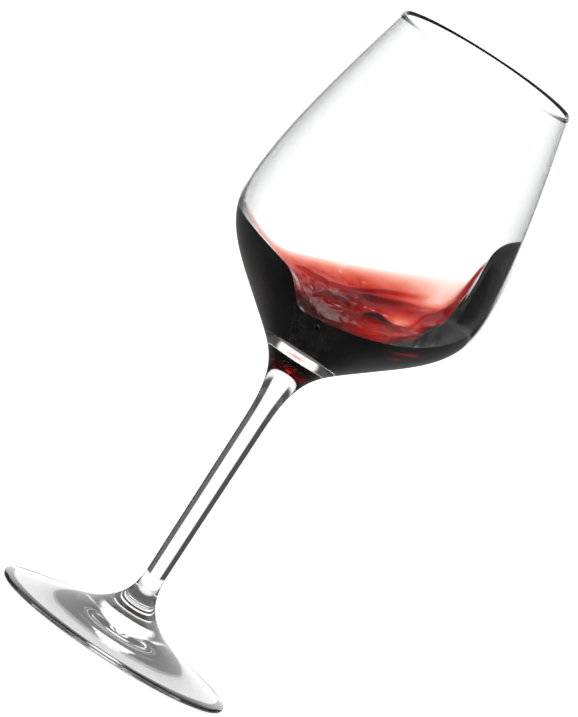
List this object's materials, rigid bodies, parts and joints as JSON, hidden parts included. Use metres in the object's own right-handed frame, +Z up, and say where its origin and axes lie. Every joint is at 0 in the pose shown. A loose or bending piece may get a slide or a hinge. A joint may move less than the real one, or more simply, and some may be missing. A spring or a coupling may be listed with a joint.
{
  "type": "glass of red wine",
  "caption": "Clear stemmed tulip glass holding a small pour of red wine that swirls up one side of the bowl, standing on its round foot.",
  "frame": {"origin": "on the glass's axis, in the plane that the foot stands on", "axes": "+Z up along the glass's axis; +X towards the side where the wine climbs highest; +Y away from the side the glass is seen from"},
  "size_m": [0.0906, 0.0906, 0.225],
  "materials": {
    "clear_glass": "clear colourless blown glass, fire-polished, fully glossy",
    "red_wine": "clear red wine, near black where deep, red and then pink where it thins, wet gloss"
  },
  "bodies": {
    "root": {"glass": "clear_glass", "wine": "red_wine"}
  },
  "joints": []
}
